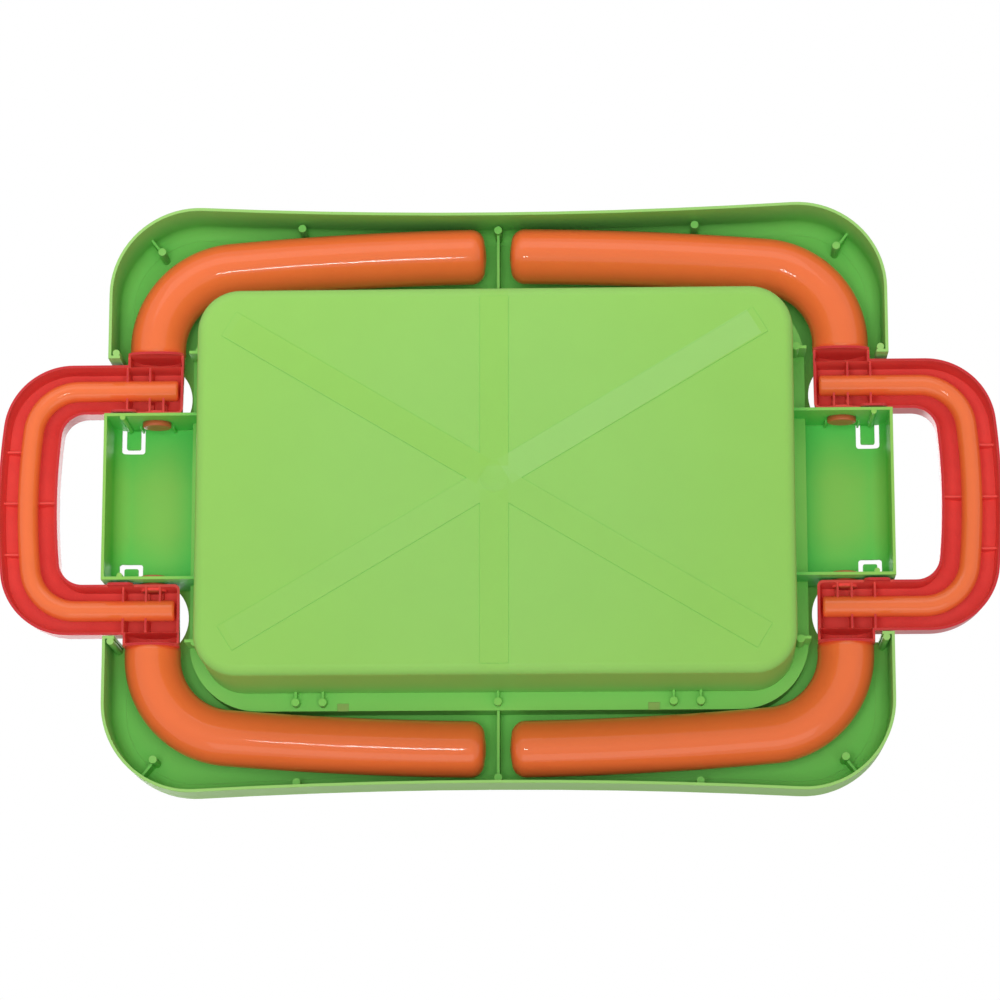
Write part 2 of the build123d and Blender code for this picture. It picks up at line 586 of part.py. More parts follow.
def make_leg():
    """Leg at +X +Y: a bored root, a bend, and a slightly curved run to a domed foot."""
    start = Line((PIVOT_X, COLLAR_Y, PIVOT_Z), (PIVOT_X, LEG_BEND_Y, PIVOT_Z))
    bend = JernArc(start @ 1, start % 1, LEG_BEND_R, LEG_BEND_ANGLE)
    bend_end = bend @ 1
    centre_x = bend_end.X - LEG_RUN_R * math.cos(math.radians(LEG_BEND_ANGLE))
    foot_angle = math.degrees(math.acos((FOOT_X - centre_x) / LEG_RUN_R))
    run = JernArc(bend_end, bend % 1, LEG_RUN_R, foot_angle - LEG_BEND_ANGLE)
    section = Plane(origin=start @ 0, x_dir=(1, 0, 0), z_dir=(0, 1, 0)) * Circle(LEG_R)
    leg = sweep(section, path=Wire([start, bend, run]))
    foot = leg.edges().filter_by(GeomType.CIRCLE).group_by(Axis.X)[0]
    leg = fillet(foot, FOOT_R)
    return leg - cylinder_y(SOCKET_R + SEAT_CLEARANCE, PIVOT_X, PIVOT_Z, COLLAR_Y - LEG_NECK,
                            COLLAR_Y + SOCKET_L + SEAT_CLEARANCE)


def make_pin():
    """Pivot pin at +X +Y: a journal for the box's wall and a stub fixed in the arm."""
    head_y = BOX_HALF_Y - WALL - PIN_HEAD
    journal = cylinder_y(PIN_R, PIVOT_X, PIVOT_Z, head_y, ARM_IN_Y)
    journal = chamfer(journal.edges().group_by(Axis.Y)[0], PIN_CHAMFER)
    return journal + cylinder_y(STUB_R, PIVOT_X, PIVOT_Z, ARM_IN_Y, ARM_IN_Y + TRAY_WALL + STUB_BOSS_H)


# ---------------------------------------------------------------------------
# The parts
# ---------------------------------------------------------------------------

def make_parts():
    """Every sub-part in its place, by name."""
    tub = make_tub()
    for item in step_posts() + four_times(tub_brackets()):
        tub += item
    skirt = make_skirt()
    deck = make_deck(skirt)
    box = make_end_box()
    tongue = make_tongue()
    tray = make_tray()
    tube = make_tube()
    leg = make_leg()
    pin = make_pin()
    parts = {"tub": tub}
    for end, y_flip in (("rear", False), ("front", True)):
        for name, shape in (("skirt", skirt), ("deck", deck)):
            parts[f"{name}_{end}"] = mirror(shape, about=Plane.XZ) if y_flip else shape
    for side, x_flip in (("right", False), ("left", True)):
        for name, shape in (("end_box", box), ("handle_tray", tray), ("grip_tube", tube)):
            parts[f"{name}_{side}"] = mirror(shape, about=Plane.YZ) if x_flip else shape
        for end, y_flip in (("rear", False), ("front", True)):
            for name, shape in (("leg", leg), ("pivot_pin", pin), ("snap_tongue", tongue)):
                placed = mirror(shape, about=Plane.XZ) if y_flip else shape
                placed = mirror(placed, about=Plane.YZ) if x_flip else placed
                parts[f"{name}_{side}_{end}"] = placed
    return parts


os.makedirs("parts", exist_ok=True)
for part_name, part_shape in make_parts().items():
    export_step(part_shape, f"parts/{part_name}.step")
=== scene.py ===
"""A folding sand and water play table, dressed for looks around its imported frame."""
import json
import math

import bmesh
import bpy
import numpy as np
from mathutils import Matrix, Vector


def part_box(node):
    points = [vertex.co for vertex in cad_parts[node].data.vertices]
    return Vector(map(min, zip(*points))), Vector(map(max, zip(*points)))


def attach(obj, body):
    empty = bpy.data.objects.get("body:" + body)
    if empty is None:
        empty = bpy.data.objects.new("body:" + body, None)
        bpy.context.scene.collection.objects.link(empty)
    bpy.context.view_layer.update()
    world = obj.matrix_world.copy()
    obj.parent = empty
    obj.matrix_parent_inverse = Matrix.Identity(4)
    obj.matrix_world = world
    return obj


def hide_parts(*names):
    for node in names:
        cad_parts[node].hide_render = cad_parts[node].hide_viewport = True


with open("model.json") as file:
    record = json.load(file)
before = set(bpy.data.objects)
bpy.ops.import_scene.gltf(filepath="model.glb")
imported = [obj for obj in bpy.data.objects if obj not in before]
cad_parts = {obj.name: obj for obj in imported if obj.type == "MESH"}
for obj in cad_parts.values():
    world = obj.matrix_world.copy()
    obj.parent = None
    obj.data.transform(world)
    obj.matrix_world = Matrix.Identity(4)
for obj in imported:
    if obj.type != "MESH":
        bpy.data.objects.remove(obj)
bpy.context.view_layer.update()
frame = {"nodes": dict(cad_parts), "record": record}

# ---------------------------------------------------------------------------
# The table top: one large injection moulding in green polypropylene. It left the mould through a
# gate in the middle of the tub, so its skin is mottled and satin. Its thin edges get a painted
# highlight for the light they let through, and its deep corners a cooler painted shade.
# ---------------------------------------------------------------------------
GREEN = (0.300, 0.600, 0.122, 1.0)
# Painted light: the paler green painted on the skirt towards its free edge.
GREEN_PAINTED_GLOW = (0.340, 0.620, 0.180, 1.0)
# Painted shade: the cooler green that the hollows are painted with, in place of their shade.
GREEN_HOLLOW_PAINTED_SHADE = (0.120, 0.640, 0.125, 1.0)
# Painted shade: the tan painted in the snap windows, for the hook seen there in shade.
POCKET_PAINTED_SHADE = (0.420, 0.300, 0.110, 1.0)
# Painted highlight: the paler green painted on sharp edges.
GREEN_PAINTED_EDGE_LIGHT = (0.420, 0.680, 0.230, 1.0)
GREEN_BOTTOM = (0.312, 0.605, 0.145, 1.0)
FLOW_PALE = (0.345, 0.630, 0.200, 1.0)
FLOW_DARK = (0.298, 0.596, 0.108, 1.0)
BAND_HALF_WIDTH = 0.014
BAND_NEAR = 0.012
BAND_FAR = 0.300
CORNER_BAND_TURN = math.atan2(0.1501, 0.2471)
# Each band's turn from the X axis, its colour, and the share of that colour in it.
FLOW_BANDS = ((-CORNER_BAND_TURN, FLOW_PALE, 0.6), (CORNER_BAND_TURN, FLOW_DARK, 0.15),
              (math.pi - CORNER_BAND_TURN, FLOW_PALE, 0.1),
              (math.pi + CORNER_BAND_TURN, FLOW_DARK, 0.5),
              (math.pi / 2, FLOW_DARK, 0.35), (-math.pi / 2, FLOW_DARK, 0.5))
GATE_GLOW = (0.10, 0.30)
FLOOR_FADE = (0.0025, 0.0045)
# Where the tan painted shade of the snap windows goes.
POCKET_X = 0.1555
POCKET_HALF_X = 0.0058
POCKET_FROM_Y = 0.2060
POCKET_LEVELS = (0.1143, 0.1165)
# Levels between which the skirt's painted light fades out towards the deck.
SKIRT_PAINTED_GLOW_FADE = (0.095, 0.140)


def add(tree, kind, sockets=None, **settings):
    """Adds a node to a tree. A socket gets a value, or a link where it is given an output."""
    node = tree.nodes.new(kind)
    for key, value in settings.items():
        setattr(node, key, value)
    for key, value in (sockets or {}).items():
        if isinstance(value, bpy.types.NodeSocket):
            tree.links.new(value, node.inputs[key])
        else:
            node.inputs[key].default_value = value
    return node


def new_group(name, inputs, outputs):
    """A shader node group. Its inputs and its outputs are given as names with socket types."""
    tree = bpy.data.node_groups.new(name, "ShaderNodeTree")
    for way, sockets in (("INPUT", inputs), ("OUTPUT", outputs)):
        for socket, kind in sockets.items():
            tree.interface.new_socket(name=socket, in_out=way, socket_type="NodeSocket" + kind)
    given = tree.nodes.new("NodeGroupInput").outputs
    wanted = tree.nodes.new("NodeGroupOutput").inputs
    return tree, given, wanted


def ramp(tree, value, low, high, to_low=0.0, to_high=1.0):
    """A smooth step: to_low where value is low or less, to_high where it is high or more."""
    step = add(tree, "ShaderNodeMapRange", {"Value": value, "From Min": low, "From Max": high,
                                            "To Min": to_low, "To Max": to_high},
               interpolation_type="SMOOTHSTEP")
    return step.outputs["Result"]


def maths(tree, operation, *values):
    """The result of one Math node."""
    return add(tree, "ShaderNodeMath", dict(enumerate(values)), operation=operation).outputs[0]


def blended(tree, share, first, second):
    """The first colour where share is 0, the second where it is 1."""
    mix = add(tree, "ShaderNodeMix", {0: share, 6: first, 7: second}, data_type="RGBA")
    return mix.outputs[2]


def make_moulded_skin():
    """Mottling of a moulding's colour, and the height of its fine grain, from two noises."""
    tree, given, wanted = new_group(
        "moulded_skin", {"Vector": "Vector", "Patch Scale": "Float", "Patch Strength": "Float",
                         "Grain Scale": "Float"}, {"Tone": "Float", "Height": "Float"})
    patches = add(tree, "ShaderNodeTexNoise",
                  {"Vector": given["Vector"], "Scale": given["Patch Scale"], "Detail": 4.0,
                   "Roughness": 0.6})
    swing = maths(tree, "MULTIPLY_ADD", patches.outputs["Fac"], 2.0, -1.0)
    tone = maths(tree, "MULTIPLY_ADD", swing, given["Patch Strength"], 1.0)
    grain = add(tree, "ShaderNodeTexNoise",
                {"Vector": given["Vector"], "Scale": given["Grain Scale"], "Detail": 2.0})
    tree.links.new(tone, wanted["Tone"])
    tree.links.new(grain.outputs["Fac"], wanted["Height"])
    return tree


def make_painted_hollow_light():
    """Painted light and shade: goes from a painted hollow colour, where little of the sky is
    seen, to the open colour.
    """
    tree, given, wanted = new_group(
        "hollow_colour", {"Open": "Float", "Colour": "Color", "Deep": "Color", "Reach": "Float"},
        {"Colour": "Color"})
    shut = maths(tree, "SUBTRACT", 1.0, given["Open"])
    share = maths(tree, "MULTIPLY", ramp(tree, shut, 0.05, 0.65), given["Reach"])
    tree.links.new(blended(tree, share, given["Colour"], given["Deep"]), wanted["Colour"])
    return tree


def make_painted_edge_light():
    """Painted highlight: lightens a colour at sharp edges, where the rounded normal leaves the
    flat one.
    """
    tree, given, wanted = new_group(
        "thin_edge", {"Rounded": "Vector", "Flat": "Vector", "Colour": "Color", "Edge": "Color",
                      "Strength": "Float"}, {"Colour": "Color"})
    match = add(tree, "ShaderNodeVectorMath", {0: given["Rounded"], 1: given["Flat"]},
                operation="DOT_PRODUCT").outputs["Value"]
    turned = maths(tree, "SUBTRACT", 1.0, match)
    share = maths(tree, "MULTIPLY", ramp(tree, turned, 0.01, 0.16), given["Strength"])
    tree.links.new(blended(tree, share, given["Colour"], given["Edge"]), wanted["Colour"])
    return tree


def make_flow_band():
    """Share of a straight band through the gate: inside its half width, and between its two ends.

    The place along the band is x cos(a) + y sin(a), and the place across it is
    y cos(a) - x sin(a), where a is the band's turn from the X axis.
    """
    tree, given, wanted = new_group(
        "flow_band", {"Vector": "Vector", "Turn": "Float", "Near": "Float", "Far": "Float",
                      "Half Width": "Float"}, {"Share": "Float"})
    place = add(tree, "ShaderNodeSeparateXYZ", {0: given["Vector"]}).outputs
    cosine, sine = maths(tree, "COSINE", given["Turn"]), maths(tree, "SINE", given["Turn"])
    along = maths(tree, "ADD", maths(tree, "MULTIPLY", place["X"], cosine),
                  maths(tree, "MULTIPLY", place["Y"], sine))
    across = maths(tree, "SUBTRACT", maths(tree, "MULTIPLY", place["Y"], cosine),
                   maths(tree, "MULTIPLY", place["X"], sine))
    inside = maths(tree, "LESS_THAN", maths(tree, "ABSOLUTE", across), given["Half Width"])
    begun = maths(tree, "GREATER_THAN", along, given["Near"])
    open_end = maths(tree, "LESS_THAN", along, given["Far"])
    share = maths(tree, "MULTIPLY", inside, maths(tree, "MULTIPLY", begun, open_end))
    tree.links.new(share, wanted["Share"])
    return tree


MOULDED_SKIN = make_moulded_skin()
PAINTED_HOLLOW_LIGHT = make_painted_hollow_light()
PAINTED_EDGE_LIGHT = make_painted_edge_light()
FLOW_BAND = make_flow_band()


def moulding(name, colour, hollow_paint, edge_light, roughness, specular=0.5, coat=0.0, reach=0.9, tint=None,
             edge_light_share=0.6, patches=(14.0, 0.03), grain=(900.0, 0.00003), hollow=0.06,
             softness=0.0009):
    """A moulded plastic: mottled and grained, with a painted highlight at its sharp edges and a
    painted colour for the light and shade in its hollows.

    reach is the share of the painted hollow colour in a shut hollow, and edge_light_share that of
    the painted edge highlight at a sharp edge. patches and grain are each a noise's scale and
    strength. hollow is how far the sky is looked for, and softness the radius of a rounded edge.
    tint, where given, changes the open colour first: it gets the tree, the object's coordinates
    and the colour, and gives a colour.
    """
    material = bpy.data.materials.new(name)
    material.use_nodes = True
    tree = material.node_tree
    shader = tree.nodes["Principled BSDF"]
    shader.inputs["Roughness"].default_value = roughness
    shader.inputs["Specular IOR Level"].default_value = specular
    shader.inputs["Coat Weight"].default_value = coat
    shader.inputs["Coat Roughness"].default_value = 0.05
    place = add(tree, "ShaderNodeTexCoord").outputs["Object"]
    skin = add(tree, "ShaderNodeGroup",
               {"Vector": place, "Patch Scale": patches[0], "Patch Strength": patches[1],
                "Grain Scale": grain[0]}, node_tree=MOULDED_SKIN)
    open_colour = tint(tree, place, colour) if tint else colour
    # Painted light and shade: hollows, where ambient occlusion finds little sky, get the painted
    # hollow colour.
    sky = add(tree, "ShaderNodeAmbientOcclusion", {"Distance": hollow}, samples=8)
    hollow_painted = add(tree, "ShaderNodeGroup",
                   {"Open": sky.outputs["AO"], "Colour": open_colour, "Deep": hollow_paint,
                    "Reach": reach}, node_tree=PAINTED_HOLLOW_LIGHT)
    rounded = add(tree, "ShaderNodeBevel", {"Radius": softness}, samples=4)
    flat = add(tree, "ShaderNodeNewGeometry")
    # Painted highlight: sharp edges, where the bevelled normal turns away, get the paler painted
    # edge colour.
    edge_painted = add(tree, "ShaderNodeGroup",
                {"Rounded": rounded.outputs[0], "Flat": flat.outputs["Normal"],
                 "Colour": hollow_painted.outputs[0], "Edge": edge_light, "Strength": edge_light_share},
                node_tree=PAINTED_EDGE_LIGHT)
    toned = add(tree, "ShaderNodeVectorMath",
                {0: edge_painted.outputs[0], "Scale": skin.outputs["Tone"]}, operation="SCALE")
    tree.links.new(toned.outputs[0], shader.inputs["Base Color"])
    bump = add(tree, "ShaderNodeBump", {"Height": skin.outputs["Height"], "Distance": grain[1],
                                        "Normal": rounded.outputs[0]})
    tree.links.new(bump.outputs[0], shader.inputs["Normal"])
    return material


def tub_tone_and_painted_shade(tree, place, colour):
    """The tub's underside is paler round the gate and crossed by bands that the plastic flowed
    in; each snap window gets a tan painted shade.
    """
    spot = add(tree, "ShaderNodeSeparateXYZ", {0: place}).outputs
    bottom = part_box("tub")[0][2]
    low = ramp(tree, spot["Z"], bottom + FLOOR_FADE[0], bottom + FLOOR_FADE[1], 1.0, 0.0)
    middle = add(tree, "ShaderNodeVectorMath", {0: place}, operation="LENGTH").outputs["Value"]
    pale = maths(tree, "MULTIPLY", ramp(tree, middle, *GATE_GLOW, 1.0, 0.0), low)
    colour = blended(tree, pale, colour, GREEN_BOTTOM)
    # Painted shade: a tan patch in each snap window stands in for the hook seen in shade through
    # it.
    outward_x = maths(tree, "ABSOLUTE", spot["X"])
    across = maths(tree, "ABSOLUTE", maths(tree, "SUBTRACT", outward_x, POCKET_X))
    outer = maths(tree, "GREATER_THAN", maths(tree, "ABSOLUTE", spot["Y"]), POCKET_FROM_Y)
    in_pocket = maths(tree, "MULTIPLY", maths(tree, "LESS_THAN", across, POCKET_HALF_X), outer)
    raised = maths(tree, "MULTIPLY", maths(tree, "GREATER_THAN", spot["Z"], POCKET_LEVELS[0]),
                   maths(tree, "LESS_THAN", spot["Z"], POCKET_LEVELS[1]))
    colour = blended(tree, maths(tree, "MULTIPLY", in_pocket, raised), colour, POCKET_PAINTED_SHADE)
    for turn, tone, strength in FLOW_BANDS:
        band = add(tree, "ShaderNodeGroup",
                   {"Vector": place, "Turn": turn, "Near": BAND_NEAR, "Far": BAND_FAR,
                    "Half Width": BAND_HALF_WIDTH}, node_tree=FLOW_BAND)
        seen = maths(tree, "MULTIPLY", band.outputs["Share"], low)
        colour = blended(tree, maths(tree, "MULTIPLY", seen, strength), colour, tone)
    return colour


def shell_painted_glow(tree, place, colour):
    """Painted light: the skirt is painted paler towards its free edge than at the deck, for light
    let through its thin wall.
    """
    level = add(tree, "ShaderNodeSeparateXYZ", {0: place}).outputs["Z"]
    return blended(tree, ramp(tree, level, *SKIRT_PAINTED_GLOW_FADE), GREEN_PAINTED_GLOW, colour)


green_shell = moulding("green_shell", GREEN, GREEN_HOLLOW_PAINTED_SHADE, GREEN_PAINTED_EDGE_LIGHT, 0.50, specular=0.12,
                       reach=0.6, tint=shell_painted_glow, edge_light_share=0.3)
green_box = moulding("green_box", GREEN, GREEN_HOLLOW_PAINTED_SHADE, GREEN_PAINTED_EDGE_LIGHT, 0.50, specular=0.15, reach=1.0)
green_tub = moulding("green_tub", GREEN, GREEN_HOLLOW_PAINTED_SHADE, GREEN_PAINTED_EDGE_LIGHT, 0.42, specular=0.3, reach=0.5,
                     tint=tub_tone_and_painted_shade, edge_light_share=0.0, softness=0.0004)


def finish_nodes(material, *starts):
    """Puts a material on every CAD node whose name begins with one of the starts."""
    for name, piece in frame["nodes"].items():
        if name.startswith(starts):
            for place in piece.material_slots:
                place.material = material


finish_nodes(green_shell, "skirt", "deck")
finish_nodes(green_box, "end_box", "snap_tongue")

# The well is a little longer than the tub's plain solid: its end walls move out, and
# the step round the rim stays where it is.
WELL_SHIFT = 0.004
WELL_TOP = 0.118
WELL_FLAT_X = (0.200, 0.245)
WELL_HALF = (0.2925, 0.1955)
WELL_R = 0.042
WELL_SLACK = 0.0012
MERGE_WITHIN = 1e-6


def merged_copy(name, node):
    """A copy of a CAD node whose loose triangles share their corners, as one skin.

    Each triangle's corners keep the directions that they had, so curved walls stay smooth.
    """
    piece = node.copy()
    piece.data = node.data.copy()
    piece.name = piece.data.name = name
    piece.parent = None
    piece.matrix_world = Matrix.Identity(4)
    bpy.context.scene.collection.objects.link(piece)
    directions = np.empty(3 * len(piece.data.loops))
    piece.data.corner_normals.foreach_get("vector", directions)
    kept = piece.data.attributes.new("direction", "FLOAT_VECTOR", "CORNER")
    kept.data.foreach_set("vector", directions)
    skin = bmesh.new()
    skin.from_mesh(piece.data)
    bmesh.ops.remove_doubles(skin, verts=skin.verts, dist=MERGE_WITHIN)
    skin.to_mesh(piece.data)
    skin.free()
    piece.data.shade_smooth()
    kept = piece.data.attributes["direction"]
    directions = np.empty(3 * len(piece.data.loops))
    kept.data.foreach_get("vector", directions)
    piece.data.attributes.remove(kept)
    piece.data.normals_split_custom_set(directions.reshape(-1, 3))
    return piece


def vertex_points(mesh):
    """The corners of a mesh, one row each."""
    points = np.empty(3 * len(mesh.vertices))
    mesh.vertices.foreach_get("co", points)
    return points.reshape(-1, 3)


def longer_well(piece):
    """Moves each end of the well outwards: by the whole shift past the floor, not on the step.

    The well's plan is a rectangle with round corners, so a point lies in it when its
    distance from the straight part's corner is under the corner's radius.
    """
    points = vertex_points(piece.data)
    outward = np.abs(points[:, 0])
    share = np.clip((outward - WELL_FLAT_X[0]) / (WELL_FLAT_X[1] - WELL_FLAT_X[0]), 0, 1)
    beyond = np.maximum(np.abs(points[:, :2]) - np.array(WELL_HALF) + WELL_R, 0)
    share *= (np.hypot(*beyond.T) < WELL_R + WELL_SLACK) & (points[:, 2] < WELL_TOP)
    points[:, 0] += np.sign(points[:, 0]) * WELL_SHIFT * share
    piece.data.vertices.foreach_set("co", points.ravel())


tub = merged_copy("dressed_tub", frame["nodes"]["tub"])
longer_well(tub)
tub.data.materials.clear()
tub.data.materials.append(green_tub)
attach(tub, "table")
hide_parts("tub")

# ---------------------------------------------------------------------------
# The carrying handles: two red channels in the shape of a D, injection moulded and
# ribbed, each open on its underside and hung on the pins at the ends of its arms.
# ---------------------------------------------------------------------------
RED = (0.58, 0.026, 0.036, 1.0)
# Painted light: the brighter red that the trays' hollows are painted with, in place of light
# reaching them.
RED_HOLLOW_PAINTED_LIGHT = (1.0, 0.120, 0.100, 1.0)
# Painted highlight: the paler red painted on sharp edges.
RED_PAINTED_EDGE_LIGHT = (0.90, 0.200, 0.130, 1.0)
COLLAR_R = 0.0283
COLLAR_WALL = 0.0024
COLLAR_FROM_Y = 0.1360
COLLAR_SLACK = 0.0002
RIM_DROP = 0.018
LOBE_H = 0.0103

red = moulding("red_tray", RED, RED_HOLLOW_PAINTED_LIGHT, RED_PAINTED_EDGE_LIGHT, 0.40, specular=0.25, edge_light_share=0.7,
               hollow=0.035)
joint_place = {joint["name"]: joint["pos_m"] for joint in frame["record"]["behaviour"]["joints"]}


def straight_collars(piece, pivot):
    """Below the pivot axis a collar's sides stand straight, and end in a lobe as wide as it is.

    A corner at radius r from the axis goes to r to the side of it, down to the rim. Below
    the rim it goes to r sqrt(1 - t^2), where t is its share of the lobe's height.
    """
    points = vertex_points(piece.data)
    aside, below = points[:, 0] - pivot[0], pivot[2] - points[:, 2]
    radius = np.hypot(aside, below)
    on_collar = np.abs(radius - COLLAR_R) < COLLAR_SLACK
    on_collar |= np.abs(radius - COLLAR_R + COLLAR_WALL) < COLLAR_SLACK
    on_collar &= (np.abs(points[:, 1]) > COLLAR_FROM_Y) & (below > 0)
    drop = np.clip((below - RIM_DROP) / LOBE_H, 0, 1)
    straight = pivot[0] + np.sign(aside) * radius * np.sqrt(1 - drop ** 2)
    points[:, 0] = np.where(on_collar, straight, points[:, 0])
    piece.data.vertices.foreach_set("co", points.ravel())


for side in ("left", "right"):
    node = "handle_tray_" + side
    tray = merged_copy("dressed_" + node, frame["nodes"][node])
    straight_collars(tray, joint_place["swing_" + side])
    tray.data.materials.clear()
    tray.data.materials.append(red)
    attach(tray, "swing_frame_" + side)
    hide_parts(node)

# ---------------------------------------------------------------------------
# The grips: orange tubes bent to the D and closed at both ends, which lie in the
# handles. They are blow moulded, so they are glossy and a little uneven.
# ---------------------------------------------------------------------------
ORANGE = (0.880, 0.160, 0.038, 1.0)
# Painted light: the brighter orange that hollows are painted with, in place of light reaching
# them.
ORANGE_HOLLOW_PAINTED_LIGHT = (1.000, 0.135, 0.050, 1.0)
# Painted highlight colour for sharp edges; the orange moulding gives it no share.
ORANGE_PAINTED_EDGE_LIGHT = (0.880, 0.200, 0.075, 1.0)

orange = moulding("orange_blow_moulding", ORANGE, ORANGE_HOLLOW_PAINTED_LIGHT, ORANGE_PAINTED_EDGE_LIGHT, 0.38, specular=0.15,
                  coat=0.6, reach=0.35, edge_light_share=0.0, patches=(26.0, 0.035),
                  grain=(1400.0, 0.00002))
finish_nodes(orange, "grip_tube")

# ---------------------------------------------------------------------------
# The legs: four fat orange tubes, blow moulded in polyethylene, each pressed on to the
# boss of a handle's collar. They bend once, run on in a slight curve and end in a foot.
# ---------------------------------------------------------------------------
RING_POINTS = 96
LEG_R = 0.0282
LEG_NECK = 0.0085
LEG_BEND_R = 0.0823
LEG_BEND = math.radians(85.0)
LEG_RUN_R = 3.4
FOOT_R = 0.014
FOOT_BULGE = 0.0015
BORE_R = 0.02005
BORE_L = 0.01805
NECK_STEPS, BEND_STEPS, RUN_STEPS, FOOT_STEPS, SOLE_STEPS = 2, 40, 60, 12, 7
CORNERS = [(side, end, (along_x, along_y)) for side, along_x in (("left", -1), ("right", 1))
           for end, along_y in (("front", -1), ("rear", 1))]


def bent_line(start, heading, runs):
    """Points and headings along a flat line, from runs of (length, turn, number of steps).

    Over a run the heading grows evenly by the turn, so a point at share u lies one chord
    away from the run's start: length u sinc(turn u / 2), at the mean heading so far.
    """
    points, headings = [np.array([start])], [np.array([heading])]
    for length, turn, steps in runs:
        share = np.linspace(0, 1, steps + 1)[1:]
        chord = length * share * np.sinc(turn * share / (2 * np.pi))
        mean = headings[-1][-1] + turn * share / 2
        step = np.stack([chord * np.cos(mean), chord * np.sin(mean)], 1)
        points.append(points[-1][-1] + step)
        headings.append(headings[-1][-1] + turn * share)
    return np.concatenate(points), np.concatenate(headings)


def round_skin(name, centres, headings, radii, height, mirror=(1, 1)):
    """A closed skin of rings, each square to a line in a level plane, with a point at each end.

    Ring point = centre + radius (cos a * side + sin a * up), for a full turn of a. The
    first and the last ring have no radius: each is the point that closes its end.
    """
    angle = np.linspace(0, 2 * np.pi, RING_POINTS, endpoint=False)
    side = np.stack([np.sin(headings), -np.cos(headings)], 1)
    aside = radii[:, None, None] * np.cos(angle)[None, :, None] * side[:, None]
    flat = centres[:, None] + aside
    level = height + radii[:, None] * np.sin(angle)
    rings = np.concatenate([flat * np.array(mirror), level[..., None]], 2)[1:-1]
    ends = [[*(centres[0] * mirror), height], [*(centres[-1] * mirror), height]]
    points = np.concatenate([rings.reshape(-1, 3), ends])
    rows, count = len(rings), RING_POINTS
    row, step = np.meshgrid(np.arange(rows - 1), np.arange(count), indexing="ij")
    here, following = row * count + step, row * count + (step + 1) % count
    quads = np.stack([here, here + count, following + count, following], -1).reshape(-1, 4)
    around, after = np.arange(count), (np.arange(count) + 1) % count
    last = (rows - 1) * count
    fans = [np.stack([np.full(count, rows * count), around, after], 1),
            np.stack([np.full(count, rows * count + 1), last + after, last + around], 1)]
    faces = quads.tolist() + np.concatenate(fans).tolist()
    if mirror[0] * mirror[1] < 0:
        faces = [face[::-1] for face in faces]
    mesh = bpy.data.meshes.new(name)
    mesh.from_pydata(points.tolist(), [], faces)
    mesh.shade_smooth()
    piece = bpy.data.objects.new(name, mesh)
    bpy.context.scene.collection.objects.link(piece)
    return piece


def make_leg(name, mirror, pivot, root_y, foot_x):
    """A leg at +X +Y, mirrored to its corner: bored root, neck, bend, long run, rounded foot.

    The run is an arc of LEG_RUN_R, so it turns by acos(x / LEG_RUN_R) less the bend's turn,
    where x is how far the run's end lies from the arc's centre along X.
    """
    root = (pivot[0], root_y)
    neck_and_bend = [(LEG_NECK, 0.0, NECK_STEPS), (LEG_BEND_R * LEG_BEND, LEG_BEND, BEND_STEPS)]
    bend_end = bent_line(root, np.pi / 2, neck_and_bend)[0][-1]
    centre_x = bend_end[0] - LEG_RUN_R * math.cos(LEG_BEND)
    run_turn = math.acos((foot_x + FOOT_R - centre_x) / LEG_RUN_R) - LEG_BEND
    run = (LEG_RUN_R * run_turn, run_turn, RUN_STEPS)
    line, headings = bent_line(root, np.pi / 2, neck_and_bend + [run])
    bore = np.array([(pivot[0], root_y + BORE_L), (pivot[0], root_y + BORE_L), root])
    turn = np.linspace(0, np.pi / 2, FOOT_STEPS + 1)[1:]
    share = np.linspace(1, 0, SOLE_STEPS + 1)[1:]
    cap_r = LEG_R - FOOT_R
    beyond = np.concatenate([FOOT_R * np.sin(turn), FOOT_R + FOOT_BULGE * (1 - share ** 2)])
    foot_r = np.concatenate([cap_r + FOOT_R * np.cos(turn), cap_r * share])
    ahead = np.array([math.cos(headings[-1]), math.sin(headings[-1])])
    centres = np.concatenate([bore, line, line[-1] + beyond[:, None] * ahead])
    radii = np.concatenate([[0.0, BORE_R, BORE_R], np.full(len(line), LEG_R), foot_r])
    all_headings = np.concatenate([np.full(3, np.pi / 2), headings,
                                   np.full(len(beyond), headings[-1])])
    return round_skin(name, centres, all_headings, radii, pivot[2], mirror)


leg_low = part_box("leg_right_rear")[0]
for side, end, mirror in CORNERS:
    node = "leg_%s_%s" % (side, end)
    leg = make_leg("dressed_" + node, mirror, joint_place["swing_right"], leg_low[1], leg_low[0])
    leg.data.materials.append(orange)
    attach(leg, "swing_frame_" + side)
    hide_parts(node)

# ---------------------------------------------------------------------------
# The pivot pins: short brown pins in moulded nylon, pushed through the end boxes' walls
# into the arms of the handles.
# ---------------------------------------------------------------------------
BROWN = (0.560, 0.130, 0.055, 1.0)
# Painted light: the redder brown that hollows are painted with.
BROWN_HOLLOW_PAINTED_LIGHT = (0.600, 0.120, 0.050, 1.0)
# Painted highlight: the paler brown painted on sharp edges.
BROWN_PAINTED_EDGE_LIGHT = (0.700, 0.240, 0.120, 1.0)
HEAD_R = 0.0146
HEAD_L = 0.0053
HEAD_ROUND = 0.0016
SHOULDER_IN = 0.0037
JOURNAL_L = 0.0035
JOURNAL_STEP = 0.0007
STUB_R = 0.011
ROUND_STEPS, FACE_STEPS = 6, 3

brown = moulding("pivot_pin", BROWN, BROWN_HOLLOW_PAINTED_LIGHT, BROWN_PAINTED_EDGE_LIGHT, 0.40, patches=(60.0, 0.05))


